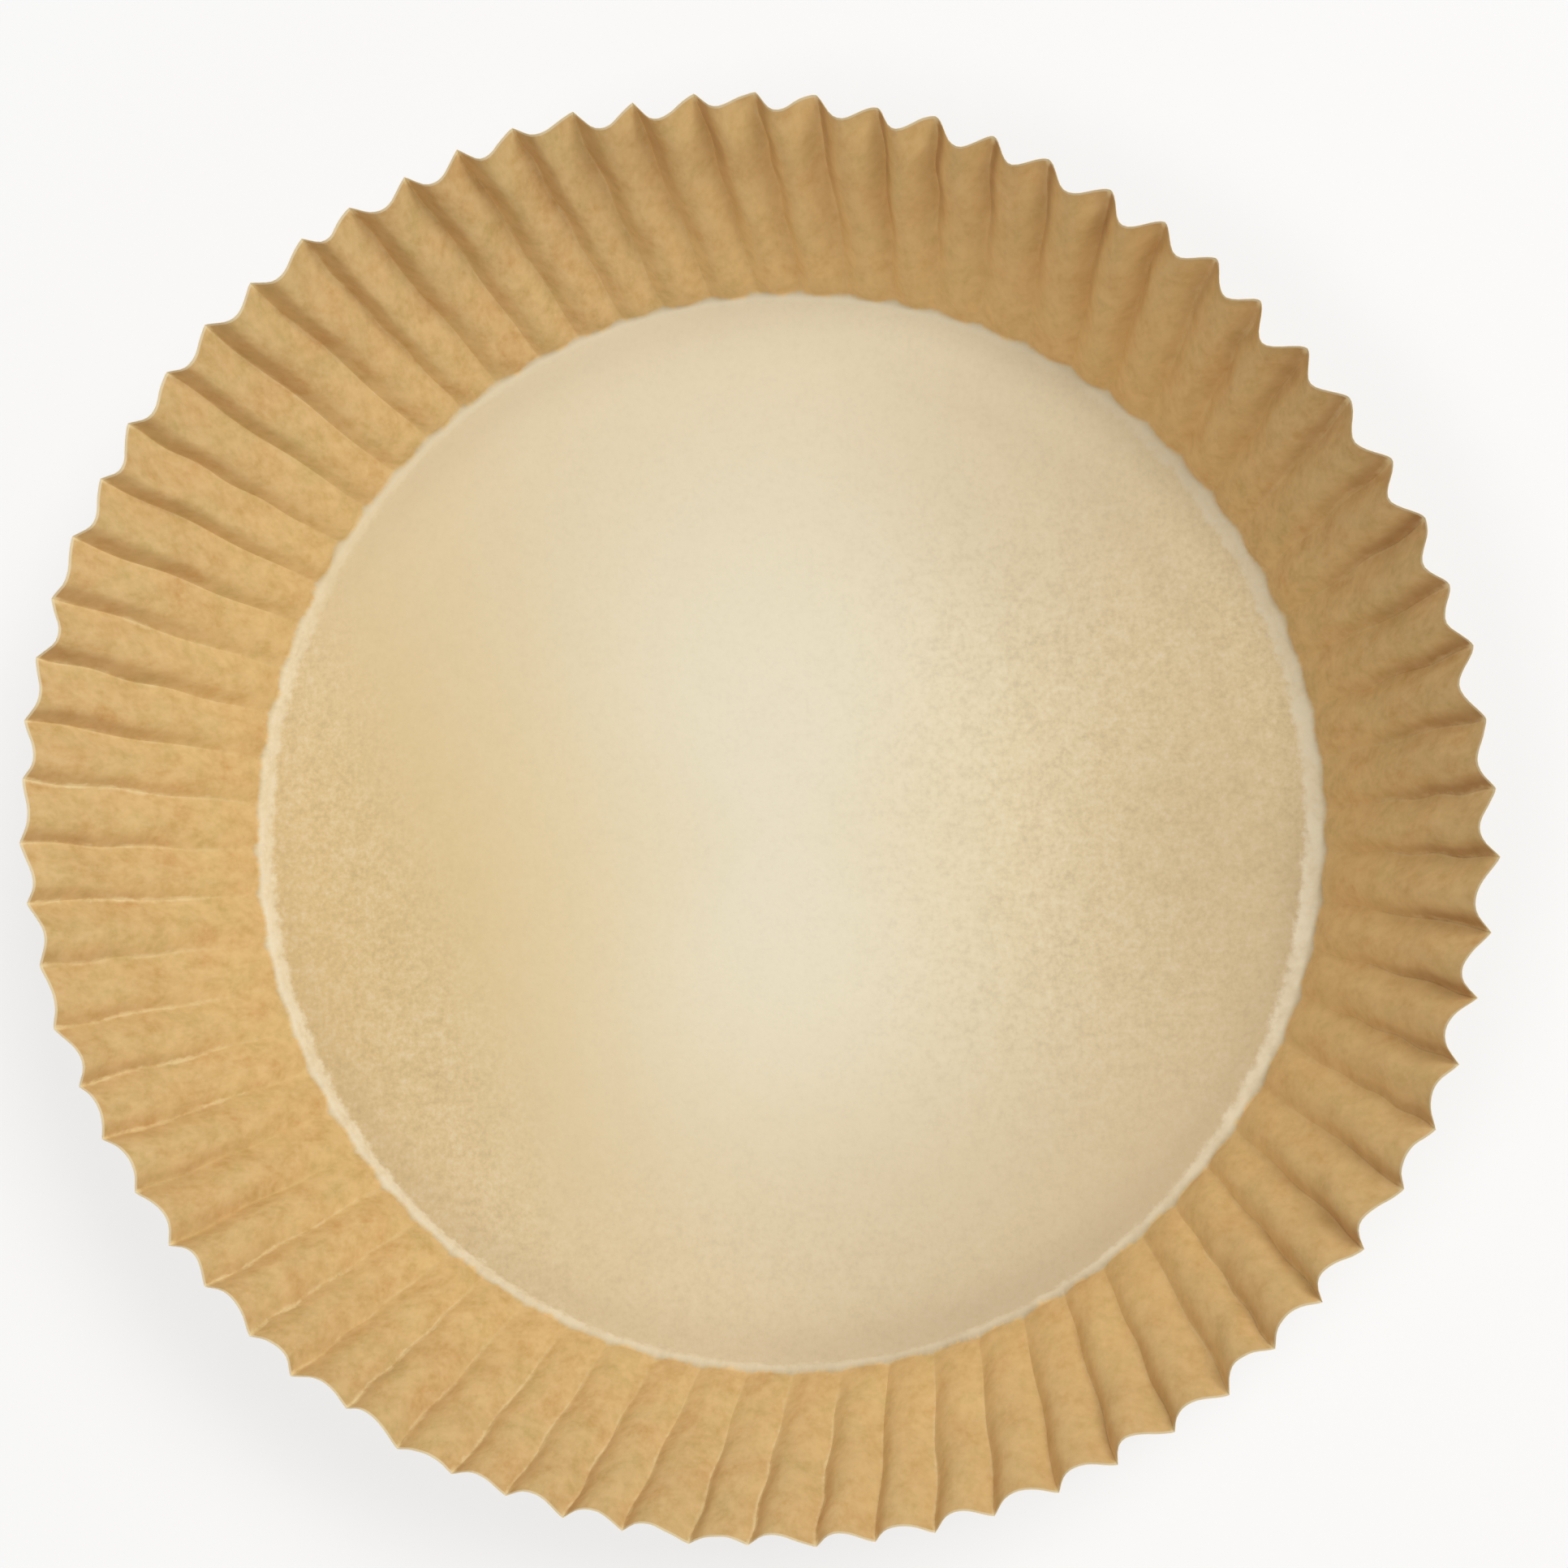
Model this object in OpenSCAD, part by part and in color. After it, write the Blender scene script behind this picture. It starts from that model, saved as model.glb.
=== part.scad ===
// Round pleated paper liner, pressed in one piece from a flat disc of greaseproof paper.
// It stands on its floor. The origin is the middle of the underside, with +Z up, in millimetres.

/* [Paper] */
// Thickness of the paper
paper_t = 0.06; // [0.04:0.01:0.3]

/* [Floor] */
// Diameter of the floor, to where its plane meets the slope of the outward folds
floor_d = 160; // [130:1:170]
// Radius of the bend from the floor into the wall, at the middle of the paper
bend_r = 1.5; // [0.5:0.1:4]

/* [Wall] */
// Diameter across the outward folds at the rim
rim_d = 200; // [185:1:215]
// Length of the wall along its slope, from the edge of the floor to the cut rim
wall_len = 48; // [44:1:60]

/* [Pleats] */
// Number of pleats round the wall, each with one sharp outward fold
pleats = 72; // [48:1:80]
// Depth of the pleats at the rim
pleat_d = 2.4; // [1:0.1:4]
// How soon the pleats deepen above the floor: 1 follows the spare paper, and below 1 is sooner
pleat_rise = 0.75; // [0.5:0.05:1]
// Radius of the soft inward ridge between two folds, at the rim
ridge_r = 4.4; // [0.5:0.1:5]

/* [Hidden] */

// A pleat can't be left half made
pleat_count = round(pleats);

kraft_brown = [0.80, 0.66, 0.45];

// Flat strips round one soft ridge, round the bend, and from the bend to the rim
ridge_strips = 4;
bend_strips = 2;
wall_strips = 3;
// Above 1, this crowds the rows of the wall towards the floor, where the pleats deepen fastest
row_crowding = 1.5;
// The ridge's arc stays under this share of the one that would run from fold to fold
arc_share = 0.95;

// The outward folds run straight from the floor to the rim. Every radius here is to mid-paper.
floor_r = floor_d / 2;
rim_r = (rim_d - paper_t) / 2;
run = rim_r - floor_r;
rim_z = sqrt(wall_len^2 - run^2);
wall_angle = acos(run / wall_len);

// The bend takes this much off the floor and off the wall, and puts back its own arc
corner = bend_r * tan(wall_angle / 2);
flat_r = floor_r - corner;
bend_len = bend_r * wall_angle * PI / 180;
path_len = bend_len + wall_len - corner;

// Radius and height of an outward fold at a distance s along the paper from the flat floor
function bend_turn(s) = s / bend_r * 180 / PI;
function along_wall(s) = corner + s - bend_len;
function fold_r(s) =
    s < bend_len ? flat_r + bend_r * sin(bend_turn(s)) : floor_r + along_wall(s) * cos(wall_angle);
function fold_z(s) =
    s < bend_len ? bend_r * (1 - cos(bend_turn(s))) : along_wall(s) * sin(wall_angle);

// A ring of the flat disc is drawn in to the smaller ring of the wall, and its spare length goes
// into the pleats. This is the depth, but for one factor, of flanks that would take all of it up.
function spare_depth(s) = fold_r(s) * sqrt(max(0, ((flat_r + s) / fold_r(s))^2 - 1));

// One pleat at the rim: straight flanks from the fold, each touching the arc of the soft ridge
half_pleat = PI * rim_r / pleat_count;
roundest_arc = (half_pleat^2 + pleat_d^2) / (2 * pleat_d);
arc_r = min(ridge_r, arc_share * roundest_arc);
arc_middle = pleat_d - arc_r;
flank_turn = atan(arc_middle / half_pleat) + asin(arc_r / norm([half_pleat, arc_middle]));
half_arc = arc_r * sin(flank_turn);
function ridge_curve(x) = arc_middle + sqrt(arc_r^2 - x^2);
function flank_line(x) = (half_pleat - abs(x)) * tan(flank_turn);
function inward_share(x) = (abs(x) < half_arc ? ridge_curve(x) : flank_line(x)) / pleat_d;

// Places of the columns across one pleat, from its fold and over its ridge
pleat_x = [
    -half_pleat,
    for (k = [0 : ridge_strips]) arc_r * sin(flank_turn * (2 * k / ridge_strips - 1))
];
pleat_columns = len(pleat_x);
columns = pleat_count * pleat_columns;

// Depth of the pleats, from nothing at the flat floor to pleat_d. The creases that are pressed
// into the folds take up the spare length that the pleats leave over.
function pleat_depth(s) = pleat_d * (spare_depth(s) / spare_depth(path_len))^pleat_rise;

// A ridge climbs more steeply than a fold, so the same length of paper takes it higher
function climb(share) = sqrt(wall_len^2 - (run - pleat_d * share)^2) / rim_z;

function paper_point(column, s) =
    let (
        x = pleat_x[column % pleat_columns],
        middle = floor(column / pleat_columns) + 1 / 2,
        turn = (middle + x / half_pleat / 2) * 360 / pleat_count,
        share = inward_share(x),
        r = fold_r(s) - pleat_depth(s) * share
    )
    [r * cos(turn), r * sin(turn), fold_z(s) * climb(share)];

row_s = [
    for (i = [0 : bend_strips]) bend_len * i / bend_strips,
    for (i = [1 : wall_strips]) bend_len + (path_len - bend_len) * (i / wall_strips)^row_crowding
];
rows = len(row_s);
last_row = rows - 1;

// The middle of the paper, as rows from the edge of the flat floor up to the rim
mid_paper = [for (s = row_s) [for (c = [0 : columns - 1]) paper_point(c, s)]];

function unit(v) = v / norm(v);
function wrap(column) = (column + columns) % columns;

// From mid-paper to the inner face, for paper of thickness 2, mitred where two flanks meet
function inward(row, column) =
    row == 0 ? [0, 0, 1] :
    let (
        here = mid_paper[row][column],
        up = mid_paper[min(row + 1, last_row)][column] - mid_paper[row - 1][column],
        before = unit(cross(up, here - mid_paper[row][wrap(column - 1)])),
        after = unit(cross(up, mid_paper[row][wrap(column + 1)] - here))
    )
    (before + after) / (1 + before * after);

lift = [0, 0, paper_t / 2];
function face_points(side) = [
    for (row = [0 : last_row], column = [0 : columns - 1])
        mid_paper[row][column] + lift + side * paper_t / 2 * inward(row, column)
];

// Point numbers: the inner face, then the outer face, then the middle of the floor above and below
function inner(row, column) = row * columns + wrap(column);
function outer(row, column) = rows * columns + inner(row, column);
floor_top = 2 * rows * columns;
floor_under = floor_top + 1;

liner_points = concat(face_points(1), face_points(-1), [[0, 0, paper_t], [0, 0, 0]]);

wall_faces = [
    for (row = [0 : last_row - 1], c = [0 : columns - 1]) each [
        [inner(row, c), inner(row, c + 1), inner(row + 1, c + 1)],
        [inner(row, c), inner(row + 1, c + 1), inner(row + 1, c)],
        [outer(row, c), outer(row + 1, c + 1), outer(row, c + 1)],
        [outer(row, c), outer(row + 1, c), outer(row + 1, c + 1)]
    ]
];
floor_faces = [
    for (c = [0 : columns - 1]) each [
        [floor_top, inner(0, c + 1), inner(0, c)],
        [floor_under, outer(0, c), outer(0, c + 1)]
    ]
];
rim_faces = [
    for (c = [0 : columns - 1]) each [
        [inner(last_row, c), inner(last_row, c + 1), outer(last_row, c + 1)],
        [inner(last_row, c), outer(last_row, c + 1), outer(last_row, c)]
    ]
];

// The whole liner: flat floor, bend, and pleated wall up to its cut edge
module liner() {
    color(kraft_brown)
        polyhedron(points = liner_points, faces = concat(floor_faces, wall_faces, rim_faces));
}

liner();
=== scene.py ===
import math

import bpy
import numpy as np
from mathutils import Matrix, Vector


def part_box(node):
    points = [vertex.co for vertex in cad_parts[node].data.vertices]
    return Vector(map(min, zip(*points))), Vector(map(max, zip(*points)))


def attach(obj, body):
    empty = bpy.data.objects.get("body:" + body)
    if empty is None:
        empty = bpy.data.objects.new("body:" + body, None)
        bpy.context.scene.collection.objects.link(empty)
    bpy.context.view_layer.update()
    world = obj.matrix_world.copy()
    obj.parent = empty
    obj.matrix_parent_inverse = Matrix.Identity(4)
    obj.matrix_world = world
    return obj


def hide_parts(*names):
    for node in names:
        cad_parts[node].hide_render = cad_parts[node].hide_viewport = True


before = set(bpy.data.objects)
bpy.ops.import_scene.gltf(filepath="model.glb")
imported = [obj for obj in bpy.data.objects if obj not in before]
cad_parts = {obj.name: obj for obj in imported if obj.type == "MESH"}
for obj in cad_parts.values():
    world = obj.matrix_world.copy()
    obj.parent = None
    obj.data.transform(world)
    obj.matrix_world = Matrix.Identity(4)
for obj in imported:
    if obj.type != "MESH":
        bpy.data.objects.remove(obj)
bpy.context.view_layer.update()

# A round pleated liner of greaseproof kraft paper, pressed in one piece from a flat disc.
# It stands on its floor, with the middle of the underside at the origin. Everything is in metres.
MM = 0.001

# The sizes that shape the liner, the same as in the part's source
PAPER_T = 0.06 * MM
FLOOR_R = 80 * MM
BEND_R = 1.5 * MM
WALL_LEN = 48 * MM
PLEATS = 72
PLEAT_D = 2.4 * MM
PLEAT_RISE = 0.75
RIDGE_R = 4.4 * MM

box_low, box_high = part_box("liner")
RIM_R = (box_high.x - box_low.x - PAPER_T) / 2
RUN = RIM_R - FLOOR_R
WALL_ANGLE = math.acos(RUN / WALL_LEN)
CORNER = BEND_R * math.tan(WALL_ANGLE / 2)
FLAT_R = FLOOR_R - CORNER
BEND_LEN = BEND_R * WALL_ANGLE
PATH_LEN = BEND_LEN + WALL_LEN - CORNER
RIM_Z = WALL_LEN * math.sin(WALL_ANGLE)
HALF_PLEAT = math.pi * RIM_R / PLEATS

# A side of the liner is given in degrees round from +X, where the first outward fold stands.
# Handling has left the rim a little out of round: it is longer towards OVAL_TOWARDS and shifted
# towards SHIFT_TOWARDS, and its pleats have slid along it
OVAL = 2.3 * MM
OVAL_TOWARDS = -25
SHIFT = 1.8 * MM
SHIFT_TOWARDS = 11
SLIDE_TWICE = 0.94 * MM
SLIDE_TWICE_FROM = 62
SLIDE_THRICE = 0.4 * MM
SLIDE_THRICE_FROM = 43
# The wall goes out of round as this power of the share of the way up it
HANDLING_RISE = 1.3
# But for its right side, the foot of the wall lies this much nearer the middle, and the wall is back
# in its place FOOT_REACH further up
FOOT_INSET = 0.6 * MM
FOOT_REACH = 25 * MM
# The pleats are deeper towards this side, by this share, and as much shallower opposite
DEEP_SHARE = 0.24
DEEP_TOWARDS = 60

# No two pleats come out of the press alike. These are spreads, as standard deviations.
FOLD_SLIP_RIM = 0.32 * MM
FOLD_SLIP_FLOOR = 0.22 * MM
FOLD_REACH = 0.22 * MM
FOLD_WAVE = 0.26 * MM
RIDGE_SLIP = 0.35 * MM
DEPTH_SPREAD = 0.12
RIDGE_R_SPREAD = 0.3 * MM
WALL_DENTS = 0.08 * MM

# No ridge is rounder than this, which leaves a little of each flank straight
RIDGE_R_MOST = 4.9 * MM
# The ridges are crisper towards this side, by as much as this
CRISP_TOWARDS = 130
CRISPER_BY = 0.9 * MM
# The ridges lean away from the middle between their folds: by RIDGE_LEAN towards growing angles at a
# quarter turn past LEAN_FROM, and by as much the other way on the opposite side
LEAN_FROM = 42
RIDGE_LEAN = 0.9 * MM
# On this side the rim has opened into even waves
WAVES_TOWARDS = 42
WAVES_SHARE = 0.75

# The floor lifts by up to this much off what it stands on
FLOOR_LIFT = 0.35 * MM

# A crease is a narrow bead, raised on the inside of each outward fold
CREASE_HALF = 0.15 * MM
CREASE_RISE = 0.04 * MM

# The tan of the floor is full from this radius out
TAN_FULL_R = 72 * MM

# The two faces of the sheet read the fibre pattern this far apart, so that they differ, and up the
# wall the pattern is drawn out by this share of its length
FACE_APART = 20 * MM
FIBRE_DRAWN = 0.42
# The under face is a little paler than the wall, all over
UNDER_TONE = 0.12

# Rows of points up the bend and on up the wall, which start closer together by this power
BEND_ROWS = 6
WALL_ROWS = 25
ROWS_CLOSER = 1.2

# Faces that meet at more degrees than this keep a sharp edge between them
SHARP_FROM = 35

rng = np.random.default_rng(72)


def fold_radius(s):
    """Radius of an outward fold, at a distance s along the paper from the flat floor."""
    in_bend = FLAT_R + BEND_R * np.sin(s / BEND_R)
    in_wall = FLOOR_R + (CORNER + s - BEND_LEN) * math.cos(WALL_ANGLE)
    return np.where(s < BEND_LEN, in_bend, in_wall)


def fold_height(s):
    """Height of an outward fold above the flat floor."""
    in_bend = BEND_R * (1 - np.cos(s / BEND_R))
    in_wall = (CORNER + s - BEND_LEN) * math.sin(WALL_ANGLE)
    return np.where(s < BEND_LEN, in_bend, in_wall)


def spare_slope(s):
    """Slope that the pleats would have if they took up all of the spare paper."""
    return np.sqrt(np.maximum(((FLAT_R + s) / fold_radius(s)) ** 2 - 1, 0))


def pleat_depth(s):
    """Depth of the pleats, from nothing at the flat floor to PLEAT_D at the rim."""
    rim_slope = spare_slope(np.float64(PATH_LEN))
    return PLEAT_D * (fold_radius(s) * spare_slope(s) / (RIM_R * rim_slope)) ** PLEAT_RISE


def inward_share(x, ridge_r):
    """How far inward a point of a pleat lies, from 0 on a fold to 1 on the ridge, at x = 0."""
    arc_middle = PLEAT_D - ridge_r
    turn = np.arctan(arc_middle / HALF_PLEAT) + np.arcsin(ridge_r / np.hypot(HALF_PLEAT, arc_middle))
    flank = (HALF_PLEAT - abs(x)) * np.tan(turn)
    arc = arc_middle + np.sqrt(np.maximum(ridge_r**2 - x**2, 0))
    return np.where(abs(x) < ridge_r * np.sin(turn), arc, flank) / PLEAT_D


def climb(share):
    """How much higher the same length of paper reaches on a ridge than on a fold."""
    return np.sqrt(WALL_LEN**2 - (RUN - PLEAT_D * share) ** 2) / RIM_Z


def ring_noise(turns, heights, cells_round, cells_up):
    """Soft noise from about -1 to 1 that closes on itself. turns runs from 0 to 1 round the liner,
    and heights from 0 to 1 up the wall."""
    lattice = rng.uniform(-1, 1, (cells_up + 2, cells_round))
    across = np.mod(turns, 1) * cells_round
    up = np.clip(heights, 0, 1) * cells_up
    left = np.floor(across).astype(int)
    below = np.minimum(np.floor(up).astype(int), cells_up - 1)
    blend_across = 0.5 - 0.5 * np.cos((across - left) * math.pi)
    blend_up = 0.5 - 0.5 * np.cos((up - below) * math.pi)
    left = left % cells_round
    right = (left + 1) % cells_round
    low = lattice[below, left] * (1 - blend_across) + lattice[below, right] * blend_across
    high = lattice[below + 1, left] * (1 - blend_across) + lattice[below + 1, right] * blend_across
    return low * (1 - blend_up) + high * blend_up


def pleat_places():
    """Places across one pleat, from its fold to just short of the next, closest at the folds."""
    from_fold = np.array([0, 0.2, 0.45, 0.9, 1.6]) * MM
    over_ridge = np.array([-2.1, -1.4, -0.7, 0, 0.7, 1.4, 2.1]) * MM
    return np.concatenate([from_fold - HALF_PLEAT, over_ridge, HALF_PLEAT - from_fold[:0:-1]])


def wall_rows():
    """Distances along the paper of the rows of the wall, from the flat floor to the cut rim."""
    bend = np.linspace(0, BEND_LEN, BEND_ROWS)
    climbs = np.linspace(0, 1, WALL_ROWS + 1)[1:] ** ROWS_CLOSER
    return np.concatenate([bend, BEND_LEN + (PATH_LEN - BEND_LEN) * climbs])


def smooth_step(x, start, end):
    """0 before start, 1 after end, and an even S between them."""
    t = np.clip((x - start) / (end - start), 0, 1)
    return t * t * (3 - 2 * t)


def past(angle, side):
    """How far round the liner an angle lies past a side."""
    return angle - math.radians(side)


def facing(angle, side, start, end):
    """1 on one side of the liner, falling to 0 away from it. start and end are the cosines of the
    angles from that side where it is 0 and 1."""
    return smooth_step(np.cos(past(angle, side)), start, end)


def out_of_round(radius, angle, share):
    """Moves points of the wall by the liner's handling, which grows with share towards the rim."""
    longer = OVAL * np.cos(2 * past(angle, OVAL_TOWARDS))
    shifted = SHIFT * np.cos(past(angle, SHIFT_TOWARDS))
    slide = SLIDE_TWICE * np.cos(2 * past(angle, SLIDE_TWICE_FROM))
    slide = slide + SLIDE_THRICE * np.cos(3 * past(angle, SLIDE_THRICE_FROM))
    return radius + share * (longer + shifted), angle + share * slide / RIM_R


def floor_tone_and_sheen(x, y):
    """How pale the smooth floor is, a paler paper with a painted sheen: palest in a band through its
    middle, from near to far.
    """
    angle = np.arctan2(y, x)
    tanned = 0.455 - 0.065 * np.cos(angle) - 0.11 * np.sin(angle)
    tanned = tanned + 0.24 * np.cos(2 * angle) + 0.045 * np.sin(2 * angle)
    outward = np.sin(np.minimum(np.hypot(x, y) / TAN_FULL_R, 1) * math.pi / 2)
    return 1 - tanned * outward ** (1.2 + 1.6 * np.sin(angle) ** 4)


def floor_painted_shade(x, y):
    """How much painted shade darkens the floor: a little all round towards the wall, most towards the
    near right, and not at the far right of its edge."""
    radius = np.hypot(x, y)
    angle = np.arctan2(y, x)
    near_right = facing(angle, -40, 0.45, 1.05)
    near_left = facing(angle, -125, 0.3, 1)
    near = facing(angle, -110, 0.2, 1)
    far = facing(angle, 105, 0.5, 1)
    far_right = facing(angle, 28, 0.5, 1)
    edge = smooth_step(radius, 68 * MM, 77 * MM)
    floor_shade = smooth_step(radius, 20 * MM, 80 * MM) * (0.17 + 0.26 * near_right + 0.1 * near_left)
    floor_shade = floor_shade + edge * (0.12 * near_right + 0.13 * near + 0.14 * far)
    floor_shade = floor_shade + 0.15 * far_right * smooth_step(radius, 30 * MM, 58 * MM) * (1 - edge)
    return floor_shade * (1 - edge * facing(angle, 45, 0.6, 0.95))


def floor_grain(x, y):
    """How much of the fibre shows on the smooth floor: most at its right and its left edge."""
    right = smooth_step(x, 0, 48 * MM) * (1 - 0.85 * smooth_step(abs(y), 22 * MM, 66 * MM))
    slant = math.radians(200)
    left = smooth_step(x * math.cos(slant) + y * math.sin(slant), 44 * MM, 62 * MM)
    near = 0.5 * smooth_step(-y, 40 * MM, 66 * MM)
    return 0.2 + 0.8 * np.maximum(np.maximum(right, left), near)


def ring_pale_and_highlight(angle):
    """How pale the ring along the bend is on each side of the liner, from 0 to 1. It is pressed
    whitening and a painted highlight, strongest at the right and the left.
    """
    two_sides = 0.38 * np.cos(2 * past(angle, 15))
    near_right = 0.14 * np.cos(past(angle, 320))
    return np.minimum(0.62 + two_sides + near_right, 1)


def ring_width(angle):
    """How far the ring reaches onto the floor on each side of the liner, in millimetres."""
    return 1.75 + 0.85 * np.cos(2 * angle)


def foot_inset(angle):
    """How far in the foot of the wall lies on each side of the liner."""
    return FOOT_INSET * facing(angle, 195, -0.95, -0.4)


class Wall:
    """The middle of the paper from the edge of the flat floor to the rim, as a grid of points."""

    def __init__(self):
        places = pleat_places()
        self.s = wall_rows()[:, None]
        self.per_pleat = len(places)
        self.columns = PLEATS * self.per_pleat
        self.x = np.tile(places, PLEATS)[None, :]
        self.pleat = np.repeat(np.arange(PLEATS), self.per_pleat)
        self.across = (self.x / HALF_PLEAT + 1) / 2
        self.height_share = self.s / PATH_LEN
        self.turns = (self.pleat[None, :] + self.across) / PLEATS
        self.from_fold = HALF_PLEAT - abs(self.x)
        self.place()
        self.facts = {
            "from_fold": self.from_fold / HALF_PLEAT + 0 * self.s,
            "crease": self.crease_strength(),
            "ring": ring_pale_and_highlight(self.angle),
            "ring_width": ring_width(self.angle) + 0 * self.s,
            "fold_shade": self.painted_fold_shade(),
            "light": self.painted_light_sides(),
        }

    def for_pleats(self, spread, limit=3):
        """One random value for each pleat, given to all its columns."""
        return rng.normal(0, 1, PLEATS).clip(-limit, limit)[self.pleat] * spread

    def between_folds(self, at_folds):
        """Values at each row and column from values at each row and fold."""
        left = at_folds[:, self.pleat]
        right = at_folds[:, (self.pleat + 1) % PLEATS]
        return left * (1 - self.across) + right * self.across

    def fold_slips(self):
        """How far each fold has slipped round the liner, row by row."""
        at_rim = rng.normal(0, FOLD_SLIP_RIM, PLEATS)
        at_floor = rng.normal(0, FOLD_SLIP_FLOOR, PLEATS)
        wave_len = rng.uniform(12, 30, PLEATS) * MM
        phase = rng.uniform(0, 2 * math.pi, PLEATS)
        wave = FOLD_WAVE * np.sin(2 * math.pi * self.s / wave_len + phase)
        return at_floor + (at_rim - at_floor) * self.height_share + wave * np.sqrt(self.height_share)

    def place(self):
        """Sets the points of the grid, and the angle of each round the liner."""
        s = self.s
        slip = self.between_folds(self.fold_slips())
        angle = self.turns * 2 * math.pi + slip / fold_radius(s)
        share = self.ridge_share(angle)
        depth = self.depth(angle)
        reach = self.between_folds(rng.normal(0, FOLD_REACH, PLEATS)[None, :]) * self.height_share
        radius = fold_radius(s) + reach - depth * share - self.dents(angle) - self.crease_rise()
        radius, angle = out_of_round(radius, angle, self.height_share**HANDLING_RISE)
        radius = radius - foot_inset(angle) * (1 - smooth_step(s, 0, FOOT_REACH))
        z = fold_height(s) * climb(share)
        self.points = np.stack([radius * np.cos(angle), radius * np.sin(angle), z], -1)
        self.angle = angle

    def ridge_share(self, angle):
        """How far inward each point lies, from 0 on a fold to 1 on the ridge between two folds."""
        slipped = self.for_pleats(RIDGE_SLIP, 2) + RIDGE_LEAN * np.sin(past(angle, LEAN_FROM))
        x = self.x - slipped * (1 - (self.x / HALF_PLEAT) ** 2)
        crisper = CRISPER_BY * facing(angle, CRISP_TOWARDS, 0.3, 0.9)
        ridge_r = RIDGE_R + self.for_pleats(RIDGE_R_SPREAD) - crisper
        share = inward_share(x, np.minimum(ridge_r, RIDGE_R_MOST))
        wave = 0.5 + 0.5 * np.cos(math.pi * x / HALF_PLEAT)
        opened = WAVES_SHARE * facing(angle, WAVES_TOWARDS, 0.6, 0.9)
        opened = opened * smooth_step(self.height_share, 0.82, 0.98)
        return share + opened * (wave - share)

    def depth(self, angle):
        """Depth of the pleats at each point."""
        deeper = 1 + self.for_pleats(DEPTH_SPREAD) + DEEP_SHARE * np.cos(past(angle, DEEP_TOWARDS))
        deeper = deeper * (1 + 0.2 * ring_noise(self.turns, self.height_share, PLEATS, 6))
        return pleat_depth(self.s) * deeper

    def dents(self, angle):
        """Small dents of the wall, deepest on the side where the rim has opened."""
        dents = ring_noise(self.turns, self.height_share, 150, 9)
        dents = dents + 0.5 * ring_noise(self.turns, self.height_share, 420, 16)
        wrinkled = 1 + 0.9 * facing(angle, WAVES_TOWARDS, 0.3, 0.9)
        return dents * WALL_DENTS * wrinkled * smooth_step(self.s, 0, 8 * MM)

    def crease_rise(self):
        """Height of the bead along each crease, which starts above the bend."""
        bead = 1 - smooth_step(self.from_fold, 0.5 * CREASE_HALF, 2.6 * CREASE_HALF)
        return bead * CREASE_RISE * smooth_step(self.s, BEND_LEN, 6 * MM)

    def crease_strength(self):
        """How pale each crease is, pressed white and with a painted highlight: most towards the rim and
        on the near left, which faces the key lamp.
        """
        by_fold = self.between_folds(rng.uniform(0.15, 1, PLEATS)[None, :])
        up = 0.25 + 0.75 * smooth_step(self.s, 5 * MM, 26 * MM)
        side = 0.45 + 0.65 * facing(self.angle, 225, 0.2, 0.85)
        return np.minimum(by_fold * up * side, 1)

    def painted_fold_shade(self):
        """How much painted shade darkens the steeper flank beside each fold, mostly near the rim."""
        by_fold = self.between_folds(rng.uniform(0.5, 1, PLEATS)[None, :])
        steeper = np.clip(0.5 + 0.8 * np.sin(past(self.angle, LEAN_FROM)), 0, 1)
        side = np.where(self.x > 0, steeper, 1 - steeper)
        deeper = facing(self.angle, 30, 0.1, 0.8)
        banded = facing(self.angle, 130, 0.6, 0.9)
        width = (1.7 + 0.6 * self.height_share + 0.9 * banded) * MM
        across = 1 - smooth_step(self.from_fold / width, 0.2 + 0.4 * banded, 1)
        up = smooth_step(self.height_share, 0.15, 0.85)
        notch = 0.4 + 0.6 * smooth_step(self.height_share, 0.6, 1)
        return np.minimum(by_fold * side * across * up * (0.6 + deeper * notch), 1)

    def painted_light_sides(self):
        """Painted light on two sides of the wall, from 0 to 1."""
        far = facing(self.angle, 68, 0.75, 0.98)
        near_right = facing(self.angle, 315, 0.6, 0.95)
        return np.maximum(far, 0.8 * near_right) + 0 * self.s

    def flat_places(self):
        """Where each point lay on the flat disc, before the press."""
        radius = FLAT_R + self.s + 0 * self.turns
        angle = self.turns * 2 * math.pi
        return np.stack([radius * np.cos(angle), radius * np.sin(angle), 0 * radius], -1)

    def normals(self):
        """Unit normals of the grid, from the paper towards the inside of the liner."""
        up = np.gradient(self.points, axis=0)
        along_row = np.roll(self.points, -1, axis=1) - np.roll(self.points, 1, axis=1)
        normal = np.cross(up, along_row)
        normal[0] = (0, 0, 1)
        return normal / np.linalg.norm(normal, axis=-1, keepdims=True)


def floor_height(x, y):
    """The floor isn't quite flat: it lifts a little off what it stands on, but not at its edge."""
    inside = np.maximum(1 - (np.hypot(x, y) / FLAT_R) ** 2, 0)
    swell = 0.5 + 0.25 * np.sin(52 * x + 31 * y + 0.6) + 0.25 * np.sin(-24 * x + 61 * y + 2.1)
    return FLOOR_LIFT * inside * swell


def floor_rings(columns):
    """(radius, number of points) of each ring of the flat floor, from its edge inwards. The rings
    near the edge halve their points one after another."""
    rings = []
    for radius, share in ((78.3, 2), (77.2, 4), (75.4, 8), (72, 8), (68, 8), (64, 8), (60, 8)):
        rings.append((radius * MM, columns // share))
    for radius in range(56, 27, -4):
        rings.append((radius * MM, columns // 16))
    for radius in range(24, 3, -4):
        rings.append((radius * MM, columns // 32))
    return rings


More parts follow.
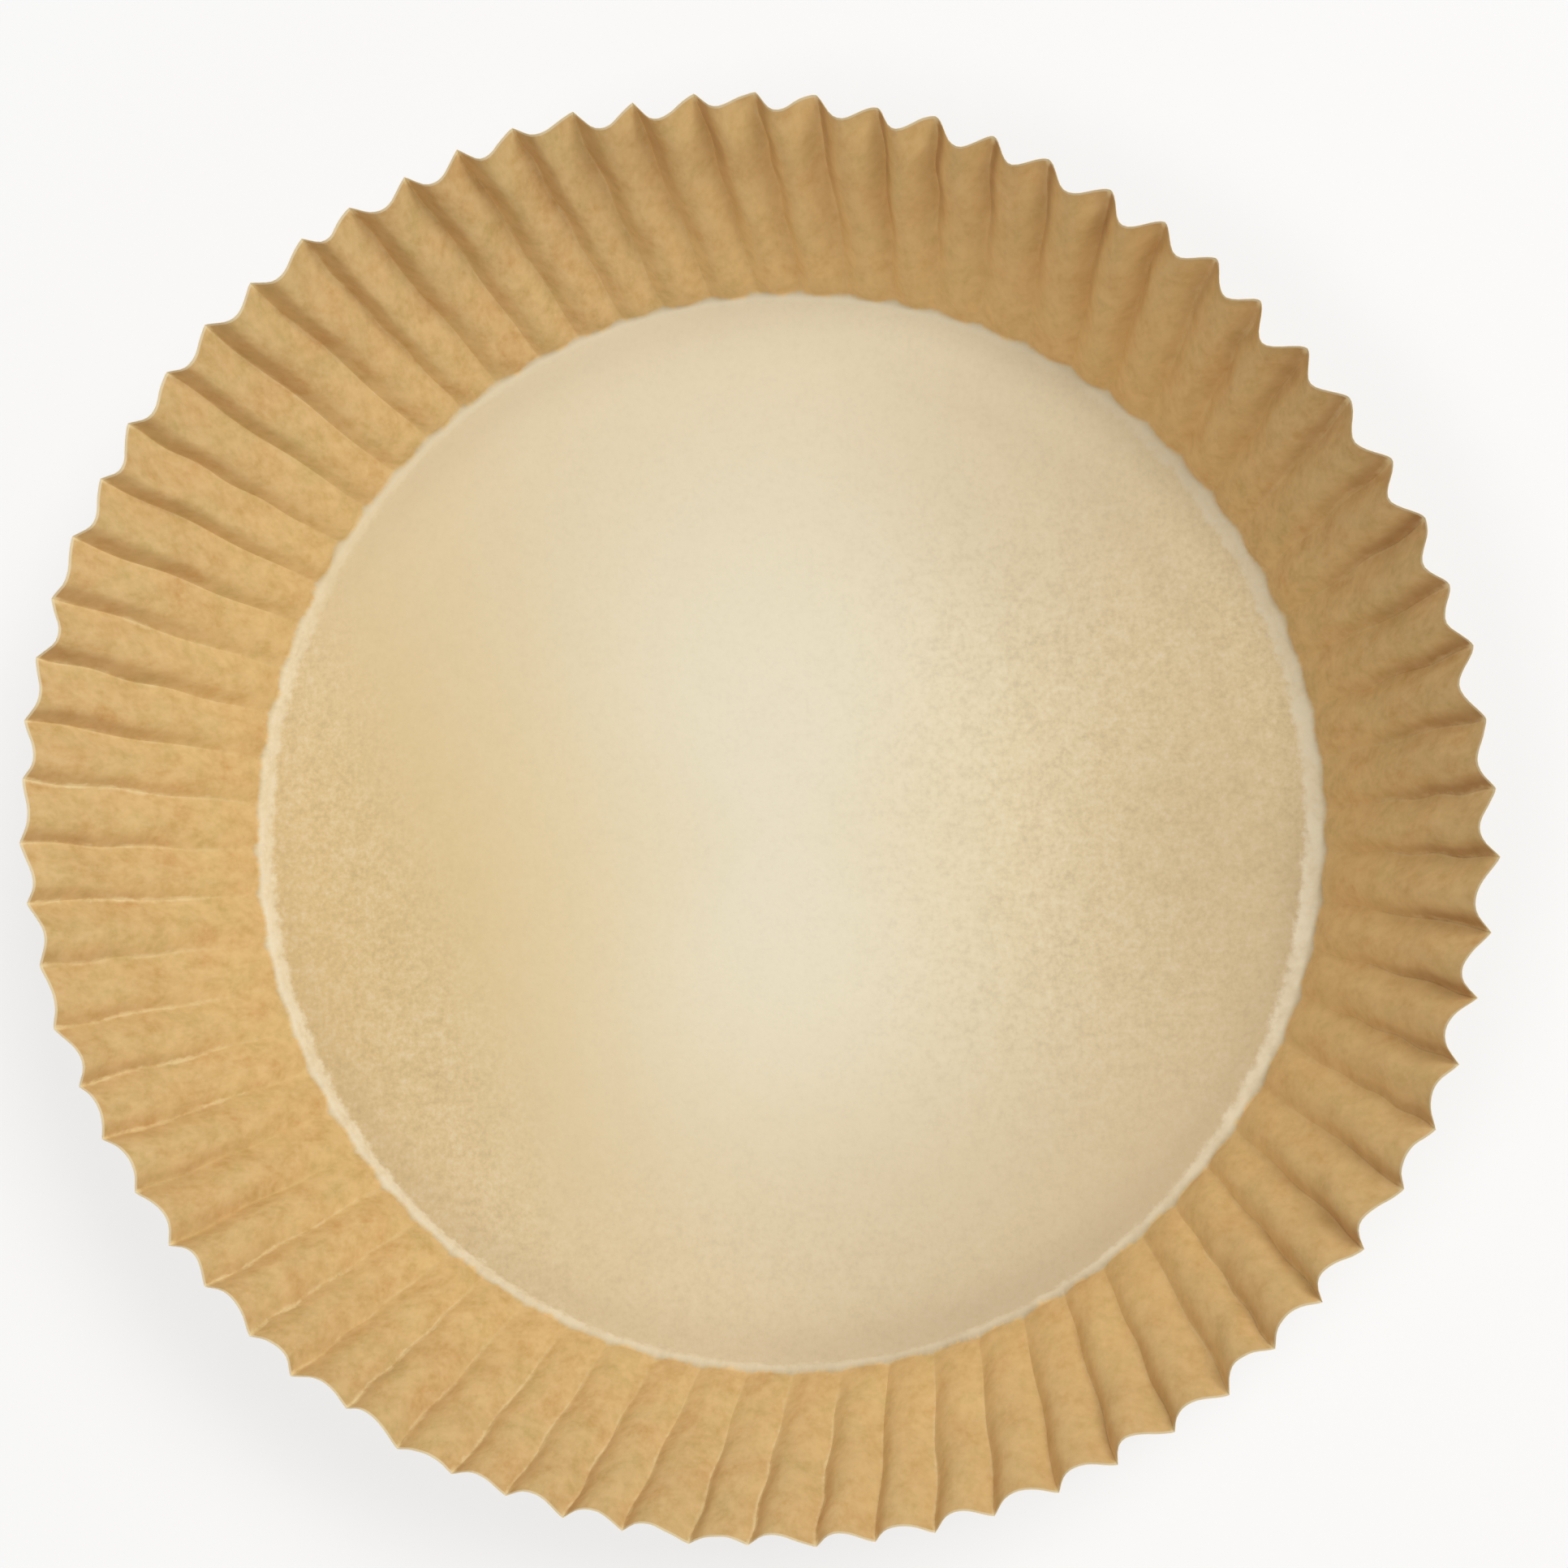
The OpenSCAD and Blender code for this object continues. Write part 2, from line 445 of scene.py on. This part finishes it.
class Shell:
    """Collects the points, faces and attributes of the closed sheet."""

    def __init__(self):
        self.points = []
        self.flat = []
        names = ("from_fold", "crease", "fold_shade", "light", "ring", "ring_width", "tone", "floor_shade", "grain")
        self.facts = {name: [] for name in names}
        self.faces = []
        self.count = 0

    def add_points(self, points, flat, facts):
        """Adds points in one block and returns the number of the first. facts holds an array of
        values for each attribute, or nothing for 0."""
        first = self.count
        self.points.append(points.reshape(-1, 3))
        self.flat.append(flat.reshape(-1, 3))
        self.count += len(self.points[-1])
        for name, blocks in self.facts.items():
            values = facts.get(name, np.zeros(self.count - first))
            blocks.append(values.reshape(-1))
        return first

    def add_face(self, corners, flip):
        self.faces.append(corners[::-1] if flip else corners)

    def band(self, low, high, columns, flip):
        """Quads between two closed rings of as many points."""
        for c in range(columns):
            after = (c + 1) % columns
            self.add_face((low + c, low + after, high + after, high + c), flip)

    def halving_band(self, fine, coarse, columns, flip):
        """Triangles between a closed ring of columns points and one of half as many, inside it."""
        half = columns // 2
        for c in range(half):
            left = fine + 2 * c
            middle = left + 1
            right = fine + (2 * c + 2) % columns
            after = coarse + (c + 1) % half
            self.add_face((left, middle, coarse + c), flip)
            self.add_face((middle, after, coarse + c), flip)
            self.add_face((middle, right, after), flip)

    def cap(self, ring, columns, middle, flip):
        """Triangles from a closed ring to the point in its middle."""
        for c in range(columns):
            self.add_face((ring + c, ring + (c + 1) % columns, middle), flip)

    def mesh(self, name):
        """The collected sheet as a mesh, smooth but for its folds and its cut edge."""
        mesh = bpy.data.meshes.new(name)
        mesh.from_pydata(np.concatenate(self.points).tolist(), [], self.faces)
        mesh.validate()
        flat = mesh.attributes.new("flat", "FLOAT_VECTOR", "POINT")
        flat.data.foreach_set("vector", np.concatenate(self.flat).ravel())
        for fact, blocks in self.facts.items():
            values = mesh.attributes.new(fact, "FLOAT", "POINT")
            values.data.foreach_set("value", np.concatenate(blocks))
        mesh.shade_smooth()
        mesh.set_sharp_from_angle(angle=math.radians(SHARP_FROM))
        mesh.update()
        return mesh


def face_facts(x, y, side):
    """What the paper looks like at each place, on the upper face for side 1 or the under face."""
    tone = floor_tone_and_sheen(x, y) if side > 0 else np.full(x.shape, UNDER_TONE)
    return {"tone": tone, "floor_shade": floor_painted_shade(x, y), "grain": floor_grain(x, y)}


def add_floor_ring(shell, radius, count, side):
    """The points of one ring of the floor. Returns the number of the first."""
    angle = np.arange(count) / count * 2 * math.pi
    drawn_in = radius * (1 - foot_inset(angle) / FLAT_R)
    x = drawn_in * np.cos(angle)
    y = drawn_in * np.sin(angle)
    z = floor_height(x, y) + PAPER_T / 2 * (1 + side)
    flat = np.stack([x, y, np.full(count, side * FACE_APART)], -1)
    facts = {"ring": ring_pale_and_highlight(angle), "ring_width": ring_width(angle), **face_facts(x, y, side)}
    return shell.add_points(np.stack([x, y, z], -1), flat, facts)


def add_floor(shell, edge, columns, side):
    """The flat floor inside the ring of points that starts at edge."""
    outer = edge
    outer_count = columns
    flip = side < 0
    for radius, count in floor_rings(columns):
        inner = add_floor_ring(shell, radius, count, side)
        if count == outer_count:
            shell.band(inner, outer, count, not flip)
        else:
            shell.halving_band(outer, inner, outer_count, flip)
        outer = inner
        outer_count = count
    middle = add_floor_ring(shell, 0, 1, side)
    shell.cap(outer, outer_count, middle, flip)


def add_wall_face(shell, wall, side):
    """One face of the wall. Returns the numbers of the first points of its lowest and top rows."""
    lift = np.array([0, 0, PAPER_T / 2])
    points = wall.points + lift + side * PAPER_T / 2 * wall.normals()
    flat = wall.flat_places() + np.array([0, 0, side * FACE_APART])
    facts = {**wall.facts, **face_facts(wall.points[..., 0], wall.points[..., 1], side)}
    first = shell.add_points(points, flat, facts)
    top = first
    for row in range(len(wall.s) - 1):
        shell.band(top, top + wall.columns, wall.columns, side > 0)
        top += wall.columns
    return first, top


def build_liner():
    """The whole sheet as one closed mesh."""
    wall = Wall()
    shell = Shell()
    tops = {}
    for side in (1, -1):
        low, tops[side] = add_wall_face(shell, wall, side)
        add_floor(shell, low, wall.columns, side)
    shell.band(tops[-1], tops[1], wall.columns, False)
    liner = bpy.data.objects.new("paper_liner", shell.mesh("paper_liner"))
    bpy.context.scene.collection.objects.link(liner)
    return liner


def linear(red, green, blue):
    """A shader colour from one written as 0 to 255."""
    return tuple(
        (c / 12.92 if c <= 0.04045 else ((c + 0.055) / 1.055) ** 2.4)
        for c in (red / 255, green / 255, blue / 255)
    ) + (1,)


# The wall is a tan that goes from a browner to a yellower one, with paler fibre
TAN_BROWNER = linear(210, 166, 104)
TAN_YELLOWER = linear(206, 178, 115)
MOTTLE_PALE = linear(233, 200, 143)
SPECKLE_PALE = linear(238, 211, 158)
# Painted light on two sides of the wall
PAINTED_LIGHT_TAN = linear(255, 215, 145)
# Painted shade on the steeper flank beside each fold
FOLD_SHADE_BROWN = linear(158, 108, 64)
# The floor is tan at its sides and palest in its middle, where a painted sheen lies on paler paper, with
# light and dark fibre
FLOOR_TAN = linear(212, 184, 117)
FLOOR_PALE_SHEEN = linear(227, 221, 198)
GRAIN_LIGHT = linear(255, 250, 235)
GRAIN_DARK = linear(120, 92, 60)
# Painted shade on the floor towards the wall and along the inner side of the ring
SHADE_BROWN = linear(150, 128, 96)
# Where the press or the knife has left the paper palest, with a painted highlight on the ring and the
# creases
RING_PALE_AND_HIGHLIGHT = linear(225, 218, 195)
CREASE_PALE_AND_HIGHLIGHT = linear(240, 220, 172)
CUT_PALE = linear(244, 232, 200)

# How much of each colour is mixed in where it is strongest
MOTTLE_SHARE = 0.8
SPECKLE_SHARE = 0.45
PAINTED_LIGHT_SHARE = 0.25
FOLD_SHADE_SHARE = 0.7
FOLD_SHADE_SHARE_ON_MOTTLE = 0.6
GRAIN_LIGHT_SHARE = 0.28
GRAIN_DARK_SHARE = 0.26
LINE_SHARE = 0.07
RING_LEAST = 0.45
RING_MOST = 0.78
CREASE_SHARE = 0.9
CUT_SHARE = 0.85
# The part of the floor's grain that is the fine speckle
FINE_SHARE = 0.66
# The paper is a little less smooth on its speckle
SHEEN_ROUGHNESS = 0.5
SPECKLE_ROUGHNESS = 0.62

# Where marks lie along the paper, in millimetres from the edge of the flat floor. The smooth floor
# ends at about the top of the bend, and its end wavers by up to WAVER to either side
SMOOTH_TO_AT_FOLD = 2.0
SMOOTH_TO_AT_RIDGE = 1.55
SMOOTH_FADE = 1.3
WAVER = 0.75
# The line of painted shade on the inner side of the ring comes up from LINE_FROM to LINE_FULL
LINE_FROM = -6.5
LINE_FULL = -3.5
RING_FADE = 1.2
CREASE_FROM = 1.5
CREASE_FULL = 5.0
# Lengths back from the cut rim, in millimetres
TIP_LEN = 2.2
CUT_LEN = 0.6
CUT_FULL = 0.4
# A crease is at its whitest up to the first of these shares of half a pleat from its fold, and gone
# at the second
CREASE_WHITE_TO = 0.03
CREASE_OUT_TO = 0.13
# The sides of a crease come and go by these shares
CREASE_ROUGH = (-0.04, 0.05)


class Nodes:
    """A material's nodes, made one call at a time."""

    def __init__(self, owner):
        owner.use_nodes = True
        self.tree = owner.node_tree
        self.tree.nodes.clear()

    def connect(self, socket, value):
        """Links the input socket to another node's output, or sets it to a plain value."""
        if isinstance(value, bpy.types.NodeSocket):
            self.tree.links.new(value, socket)
        else:
            socket.default_value = value

    def add(self, kind, inputs=(), **settings):
        node = self.tree.nodes.new(kind)
        for name, value in settings.items():
            setattr(node, name, value)
        for name, value in dict(inputs).items():
            self.connect(node.inputs[name], value)
        return node

    def attribute(self, name, output="Fac"):
        return self.add("ShaderNodeAttribute", attribute_name=name).outputs[output]

    def noise(self, vector, scale, detail, roughness):
        inputs = {"Vector": vector, "Scale": scale, "Detail": detail, "Roughness": roughness}
        return self.add("ShaderNodeTexNoise", inputs).outputs["Fac"]

    def math(self, operation, first, second):
        return self.add("ShaderNodeMath", {0: first, 1: second}, operation=operation).outputs[0]

    def times(self, *values):
        """The product of any number of values."""
        product = values[0]
        for value in values[1:]:
            product = self.math("MULTIPLY", product, value)
        return product

    def remap(self, value, low, high, to_low=0.0, to_high=1.0):
        inputs = {"Value": value, "From Min": low, "From Max": high, "To Min": to_low, "To Max": to_high}
        return self.add("ShaderNodeMapRange", inputs, clamp=True).outputs["Result"]

    def step(self, value, start, end):
        """0 at start and 1 at end, whichever is the greater, with an even S between them."""
        inputs = {"Value": value, "From Min": start, "From Max": end}
        node = self.add("ShaderNodeMapRange", inputs, interpolation_type="SMOOTHSTEP")
        return node.outputs["Result"]

    def mix(self, factor, first, second):
        """A mix of two colours."""
        node = self.add("ShaderNodeMix", data_type="RGBA")
        self.connect(node.inputs[0], factor)
        self.connect(node.inputs[6], first)
        self.connect(node.inputs[7], second)
        return node.outputs[2]


class Paper(Nodes):
    """The nodes of the kraft paper. Places along the paper are in millimetres from the edge of the
    flat floor, and from_fold is a share of half a pleat."""

    def __init__(self, owner):
        super().__init__(owner)
        flat = self.attribute("flat", "Vector")
        self.s = self.disc_place(flat)
        self.rim_s = PATH_LEN / MM
        self.from_fold = self.attribute("from_fold")

        # The fibre has a fine speckle and a coarser mottle
        self.fibre = self.fibre_place(flat)
        self.speckle = self.patches(scale=1000.0, detail=3.0, roughness=0.65, cut=(0.32, 0.68))
        self.mottle = self.patches(scale=420.0, detail=2.0, roughness=0.6, cut=(0.32, 0.68))

        # The smooth floor ends in a wavering line, a little further up the wall at the folds
        waver = self.patches(
            scale=520.0, detail=4.0, roughness=0.7, cut=(0.25, 0.75), ends=(-WAVER, WAVER)
        )
        self.wavering_s = self.math("ADD", self.s, waver)
        border = self.remap(self.from_fold, 0.0, 1.0, SMOOTH_TO_AT_FOLD, SMOOTH_TO_AT_RIDGE)
        full = self.math("SUBTRACT", border, SMOOTH_FADE)
        self.on_floor = self.step(self.wavering_s, border, full)

    def disc_place(self, flat):
        """Distance along the paper from the edge of the flat floor."""
        on_disc = self.add("ShaderNodeVectorMath", {0: flat, 1: (1, 1, 0)}, operation="MULTIPLY")
        radius = self.add("ShaderNodeVectorMath", {0: on_disc.outputs[0]}, operation="LENGTH")
        return self.math("DIVIDE", self.math("SUBTRACT", radius.outputs["Value"], FLAT_R), MM)

    def fibre_place(self, flat):
        """Where a point lies in the fibre's pattern, which the press has drawn out up the wall."""
        on_disc = self.math("ADD", self.s, FLAT_R / MM)
        drawn_in = self.times(self.math("MAXIMUM", self.s, 0.0), FIBRE_DRAWN)
        share = self.math("DIVIDE", self.math("SUBTRACT", on_disc, drawn_in), on_disc)
        scaled = self.add("ShaderNodeVectorMath", {0: flat, "Scale": share}, operation="SCALE")
        return scaled.outputs[0]

    def patches(self, scale, detail, roughness, cut, ends=(0.0, 1.0)):
        """Noise that lies in the fibre. Its values are cut off at the two in cut, which become the
        two in ends."""
        noise = self.noise(self.fibre, scale, detail, roughness)
        return self.remap(noise, *cut, *ends)

    def wall_colour(self):
        """The tan of the wall, in slow clouds, with painted shade beside its folds and painted light on
        two sides.
        """
        clouds = self.patches(scale=170.0, detail=3.0, roughness=0.6, cut=(0.36, 0.64))
        tan = self.mix(clouds, TAN_BROWNER, TAN_YELLOWER)
        tan = self.mix(self.times(self.mottle, MOTTLE_SHARE), tan, MOTTLE_PALE)
        tan = self.mix(self.times(self.speckle, SPECKLE_SHARE), tan, SPECKLE_PALE)
        # Painted light on two sides of the wall
        tan = self.mix(self.times(self.attribute("light"), PAINTED_LIGHT_SHARE), tan, PAINTED_LIGHT_TAN)
        # Painted shade beside the folds, a little less where the fibre is pale
        kept = self.remap(self.mottle, 0.0, 1.0, FOLD_SHADE_SHARE, FOLD_SHADE_SHARE_ON_MOTTLE)
        return self.mix(self.times(self.attribute("fold_shade"), kept), tan, FOLD_SHADE_BROWN)

    def floor_colour(self):
        """The smooth floor, with its grain spread about an even middle tone."""
        # A paler floor with a painted sheen through its middle
        smooth = self.mix(self.attribute("tone"), FLOOR_TAN, FLOOR_PALE_SHEEN)
        fine = self.times(self.speckle, FINE_SHARE)
        grain = self.math("ADD", fine, self.times(self.mottle, 1 - FINE_SHARE))
        grain = self.times(self.math("SUBTRACT", grain, 0.5), self.attribute("grain"))
        smooth = self.mix(self.remap(grain, 0.0, 0.5, 0.0, GRAIN_LIGHT_SHARE), smooth, GRAIN_LIGHT)
        return self.mix(self.remap(grain, 0.0, -0.5, 0.0, GRAIN_DARK_SHARE), smooth, GRAIN_DARK)

    def with_painted_floor_shade(self, colour):
        """Darkens the floor with painted shade, mostly towards the near right and near the wall."""
        floor_shade = self.times(self.attribute("floor_shade"), self.on_floor)
        return self.mix(floor_shade, colour, SHADE_BROWN)

    def with_ring(self, colour):
        """Adds the ring along the bend, where the press has whitened the paper and a painted highlight
        lies on it, and the faint line of painted shade on its inner side."""
        ring = self.attribute("ring")
        start = self.math("SUBTRACT", 0.0, self.attribute("ring_width"))
        started = self.step(self.wavering_s, start, self.math("ADD", start, RING_FADE))
        before = self.math("SUBTRACT", 1.0, started)
        # A faint line of painted shade on the floor inside the ring
        line = self.times(ring, self.step(self.s, LINE_FROM, LINE_FULL), before)
        colour = self.mix(self.times(line, self.on_floor, LINE_SHARE), colour, SHADE_BROWN)
        patchy = self.patches(
            scale=260.0, detail=3.0, roughness=0.7, cut=(0.35, 0.6), ends=(RING_LEAST, RING_MOST)
        )
        # Pressed whitening with a painted highlight
        return self.mix(self.times(ring, started, self.on_floor, patchy), colour, RING_PALE_AND_HIGHLIGHT)

    def with_creases(self, colour):
        """Adds the creases: broken pale lines with rough sides, pressed white with a painted highlight,
        whitest at their tips.
        """
        rough = self.patches(
            scale=700.0, detail=2.0, roughness=0.6, cut=(0.3, 0.7), ends=CREASE_ROUGH
        )
        place = self.math("ADD", self.from_fold, rough)
        across = self.step(place, CREASE_OUT_TO, CREASE_WHITE_TO)
        broken = self.patches(scale=360.0, detail=3.0, roughness=0.7, cut=(0.38, 0.6))
        pressed = self.times(self.attribute("crease"), broken)
        at_tip = self.step(self.s, self.rim_s - TIP_LEN, self.rim_s - CUT_LEN)
        whitened = self.times(self.math("MAXIMUM", pressed, at_tip), CREASE_SHARE)
        whitened = self.times(whitened, across, self.step(self.s, CREASE_FROM, CREASE_FULL))
        # Pressed whitening with a painted highlight
        return self.mix(whitened, colour, CREASE_PALE_AND_HIGHLIGHT)

    def with_cut_edge(self, colour):
        """Adds the pale cut edge along the rim."""
        edge = self.step(self.s, self.rim_s - CUT_LEN, self.rim_s - CUT_FULL)
        return self.mix(self.times(edge, CUT_SHARE), colour, CUT_PALE)


def kraft_paper():
    """Unbleached greaseproof paper: a warm tan with cloudy fibre, paler where the press was hot or hard
    and where a painted sheen and painted highlights lie, with painted shade by the folds and on the
    floor, a fine grain and a faint sheen."""
    material = bpy.data.materials.new("kraft_paper")
    nodes = Paper(material)
    colour = nodes.mix(nodes.on_floor, nodes.wall_colour(), nodes.floor_colour())
    colour = nodes.with_painted_floor_shade(colour)
    colour = nodes.with_ring(colour)
    colour = nodes.with_creases(colour)
    colour = nodes.with_cut_edge(colour)
    raised = {"Height": nodes.speckle, "Strength": 0.25, "Distance": 0.04 * MM}
    bump = nodes.add("ShaderNodeBump", raised)
    roughness = nodes.remap(nodes.speckle, 0.0, 1.0, SHEEN_ROUGHNESS, SPECKLE_ROUGHNESS)
    looks = {"Base Color": colour, "Roughness": roughness, "Normal": bump.outputs[0]}
    paper = nodes.add("ShaderNodeBsdfPrincipled", looks)
    nodes.add("ShaderNodeOutputMaterial", {"Surface": paper.outputs[0]})
    return material


def seen_directly(nodes):
    """1 for rays that show a surface to the camera, also through gloss or glass, and 0 for light."""
    path = nodes.add("ShaderNodeLightPath").outputs
    seen = nodes.math("MAXIMUM", path["Is Camera Ray"], path["Is Glossy Ray"])
    return nodes.math("MAXIMUM", seen, path["Is Transmission Ray"])


# The table is this share plain white up to FADE_FROM from the origin, and all white from FADE_TO on
WHITE_NEAR = 0.72
FADE_FROM = 120 * MM
FADE_TO = 400 * MM


def white_floor():
    """A white table that keeps the liner's shadow and fades into the white further off."""
    material = bpy.data.materials.new("white_floor")
    nodes = Nodes(material)
    lit = nodes.add("ShaderNodeBsdfDiffuse", {"Color": (0.86, 0.86, 0.86, 1)})
    plain = nodes.add("ShaderNodeEmission", {"Color": (1, 1, 1, 1), "Strength": 1.0})
    position = nodes.add("ShaderNodeNewGeometry").outputs["Position"]
    distance = nodes.add("ShaderNodeVectorMath", {0: position}, operation="LENGTH").outputs["Value"]
    whiter = nodes.remap(distance, FADE_FROM, FADE_TO, WHITE_NEAR, 1.0)
    share = nodes.times(seen_directly(nodes), whiter)
    mixed = nodes.add("ShaderNodeMixShader", {0: share, 1: lit.outputs[0], 2: plain.outputs[0]})
    nodes.add("ShaderNodeOutputMaterial", {"Surface": mixed.outputs[0]})
    return material


def build_stage():
    """The table top, just under the liner."""
    half = 3.0
    drop = 0.05 * MM
    corners = [(-half, -half, -drop), (half, -half, -drop), (half, half, -drop), (-half, half, -drop)]
    mesh = bpy.data.meshes.new("table_top")
    mesh.from_pydata(corners, [], [(0, 1, 2, 3)])
    mesh.materials.append(white_floor())
    table_top = bpy.data.objects.new("table_top", mesh)
    bpy.context.scene.collection.objects.link(table_top)


def aim(thing, place, target, up):
    """Puts a camera or a lamp at place, looking at target, with up turned to the top."""
    look = (target - place).normalized()
    right = look.cross(up).normalized()
    top = right.cross(look)
    turn = Matrix((right, top, -look)).transposed()
    thing.matrix_world = Matrix.Translation(place) @ turn.to_4x4()


def area_lamp(name, towards, height_angle, distance, size, watts, colour):
    """A soft square lamp that looks at the liner, placed by its two angles and its distance."""
    data = bpy.data.lights.new(name, "AREA")
    data.size = size
    data.energy = watts
    data.color = colour
    lamp = bpy.data.objects.new(name, data)
    bpy.context.scene.collection.objects.link(lamp)
    flat_share = math.cos(math.radians(height_angle))
    turn = math.radians(towards)
    up = math.sin(math.radians(height_angle))
    place = Vector((flat_share * math.cos(turn), flat_share * math.sin(turn), up)) * distance
    aim(lamp, place, Vector((0, 0, 0)), Vector((0, 1, 0)))


def light_world(strength, colour):
    """Even light from all round, and plain white where the camera looks past the table."""
    world = bpy.data.worlds.new("soft_light")
    bpy.context.scene.world = world
    nodes = Nodes(world)
    lit = nodes.add("ShaderNodeBackground", {"Color": (*colour, 1), "Strength": strength})
    plain = nodes.add("ShaderNodeBackground", {"Color": (1, 1, 1, 1), "Strength": 1.0})
    share = seen_directly(nodes)
    mixed = nodes.add("ShaderNodeMixShader", {0: share, 1: lit.outputs[0], 2: plain.outputs[0]})
    nodes.add("ShaderNodeOutputWorld", {"Surface": mixed.outputs[0]})


def add_lights():
    """A key light from the far right, a weak one from almost overhead, and light from all round."""
    light_world(strength=0.19, colour=(1, 0.91, 0.86))
    area_lamp(
        "key", towards=30, height_angle=60, distance=1.7, size=0.6, watts=17.7, colour=(1, 1, 0.98)
    )
    area_lamp(
        "overhead", towards=232, height_angle=76, distance=1.1, size=0.3, watts=3, colour=(1, 0.98, 0.96)
    )


def add_camera():
    """The photograph's view: from above, a little to the right and towards the near side."""
    place = Vector((93.6, -26.3, 530.2)) * MM
    target = Vector((1.4, 6.5, 0)) * MM
    tilt = math.radians(2)
    data = bpy.data.cameras.new("camera")
    data.sensor_width = 36
    data.lens = 84.16
    data.clip_start = 0.01
    camera = bpy.data.objects.new("camera", data)
    bpy.context.scene.collection.objects.link(camera)
    aim(camera, place, target, Vector((math.sin(tilt), math.cos(tilt), 0)))
    bpy.context.scene.camera = camera


bpy.context.scene.view_settings.view_transform = "Standard"
liner = build_liner()
liner.data.materials.append(kraft_paper())
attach(liner, "root")
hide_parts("liner")
build_stage()
add_lights()
add_camera()
